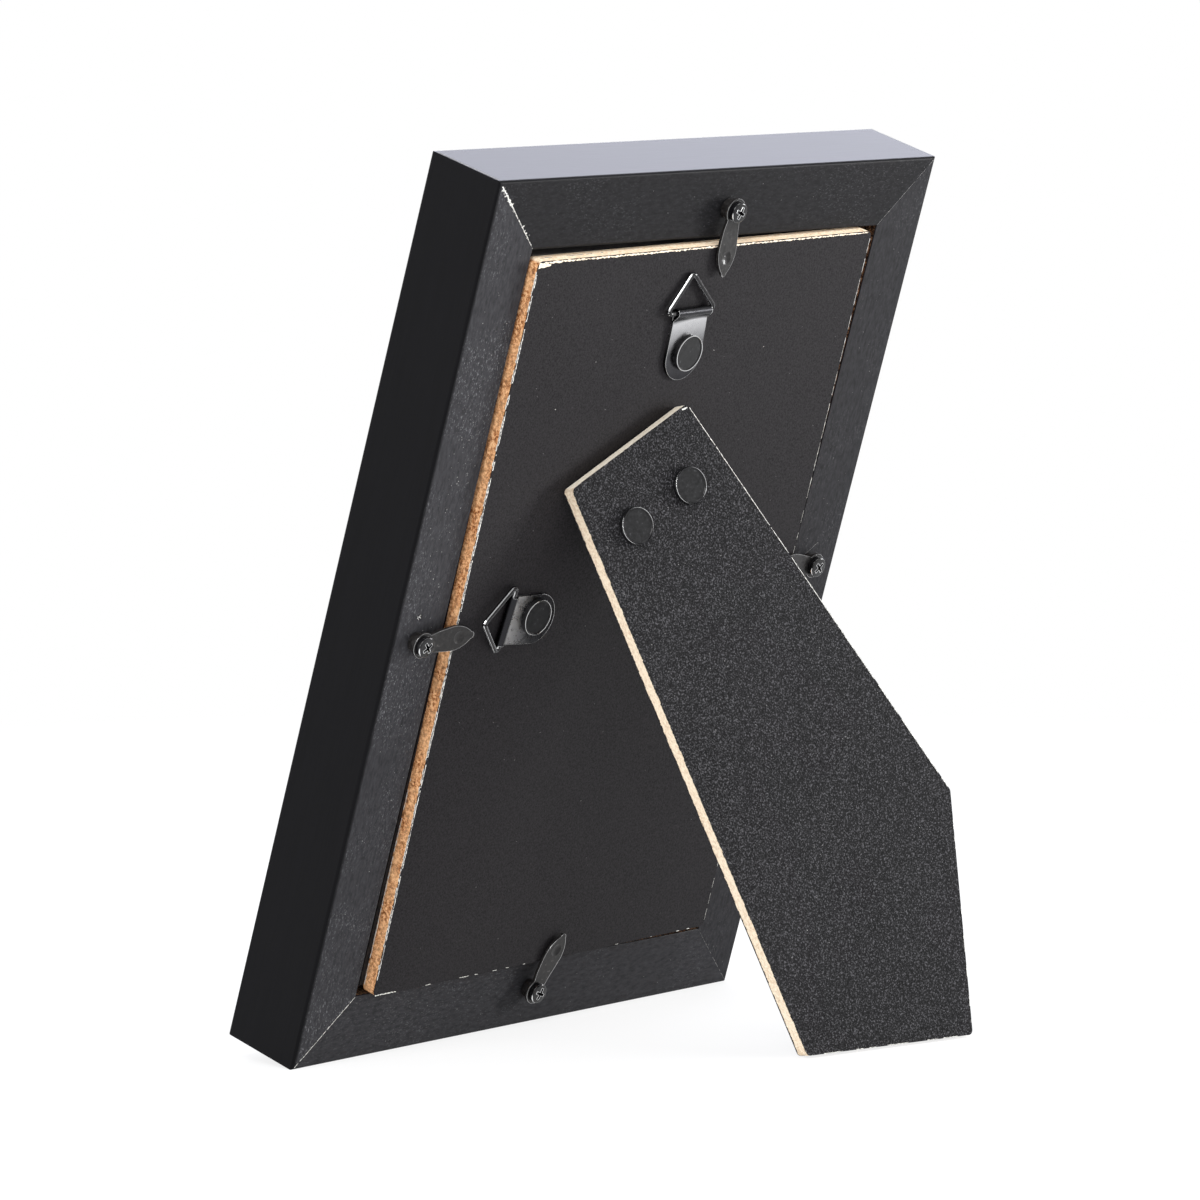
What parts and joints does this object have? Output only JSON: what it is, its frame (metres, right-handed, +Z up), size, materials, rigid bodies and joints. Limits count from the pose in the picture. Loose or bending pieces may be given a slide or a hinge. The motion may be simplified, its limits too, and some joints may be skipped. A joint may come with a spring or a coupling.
{
  "type": "photo frame",
  "caption": "Standing photo frame for a 10 x 15 cm print, with mitred rails, a backing board under turn buttons, hanging rings and a hinged easel leg.",
  "frame": {"origin": "on the floor under the middle of the standing frame's bounding box", "axes": "+Z up; the picture faces -Y and leans back, the easel leg reaches towards +Y; +X is the left of someone behind the frame"},
  "size_m": [0.132, 0.0954, 0.1787],
  "materials": {
    "rail_black": "satin black",
    "nail_steel": "plain",
    "clear_glass": "clear",
    "print_paper": "satin paper",
    "filler_card": "matte card",
    "fibreboard": "raw fibreboard",
    "black_paper": "matte embossed paper",
    "black_hardware": "gloss black",
    "hinge_steel": "plain"
  },
  "bodies": {
    "frame": {"bottom_rail": "rail_black", "top_rail": "rail_black", "left_rail": "rail_black", "right_rail": "rail_black", "corner_v_nails": "nail_steel", "glass_pane": "clear_glass", "picture_print": "print_paper", "filler_card": "filler_card", "backing_board": "fibreboard", "backing_paper": "black_paper", "top_hanger_strap": "black_hardware", "top_hanger_rivet": "black_hardware", "left_hanger_strap": "black_hardware", "left_hanger_rivet": "black_hardware", "top_button_screw": "black_hardware", "bottom_button_screw": "black_hardware", "left_button_screw": "black_hardware", "right_button_screw": "black_hardware", "hinge_board_leaf": "hinge_steel", "hinge_board_rivets": "hinge_steel", "hinge_pin": "hinge_steel"},
    "leg": {"leg_board": "fibreboard", "leg_outer_paper": "black_paper", "leg_inner_paper": "black_paper", "leg_rivets": "black_hardware", "hinge_leg_leaf": "hinge_steel"},
    "top_turn_button": {"top_button": "black_hardware"},
    "bottom_turn_button": {"bottom_button": "black_hardware"},
    "left_turn_button": {"left_button": "black_hardware"},
    "right_turn_button": {"right_button": "black_hardware"},
    "top_ring": {"top_hanger_ring": "black_hardware"},
    "left_ring": {"left_hanger_ring": "black_hardware"}
  },
  "joints": [
    {"name": "leg_fold", "type": "hinge", "parent": "frame", "child": "leg", "pos_m": [0.01188, 0.00854, 0.11499], "axis": [-0.8772, 0.143, 0.4583], "range_deg": [0, 30]},
    {"name": "top_button_turn", "type": "hinge", "parent": "frame", "child": "top_turn_button", "pos_m": [-0.00295, 0.02332, 0.16522], "axis": [0, 0.9546, -0.2978], "continuous": true},
    {"name": "bottom_button_turn", "type": "hinge", "parent": "frame", "child": "bottom_turn_button", "pos_m": [-0.00035, -0.02603, 0.00704], "axis": [0, 0.9546, -0.2978], "continuous": true},
    {"name": "left_button_turn", "type": "hinge", "parent": "frame", "child": "left_turn_button", "pos_m": [0.0596, -0.00189, 0.08442], "axis": [0, 0.9546, -0.2978], "continuous": true},
    {"name": "right_button_turn", "type": "hinge", "parent": "frame", "child": "right_turn_button", "pos_m": [-0.0569, -0.00009, 0.09019], "axis": [0, 0.9546, -0.2978], "continuous": true},
    {"name": "top_ring_swing", "type": "hinge", "parent": "frame", "child": "top_ring", "pos_m": [0.00334, 0.01766, 0.14591], "axis": [-0.9996, 0.0088, 0.0282], "range_deg": [0, 145]},
    {"name": "left_ring_swing", "type": "hinge", "parent": "frame", "child": "left_ring", "pos_m": [0.03722, -0.00066, 0.0872], "axis": [-0.1012, 0.2963, 0.9497], "range_deg": [-9, 150]}
  ]
}
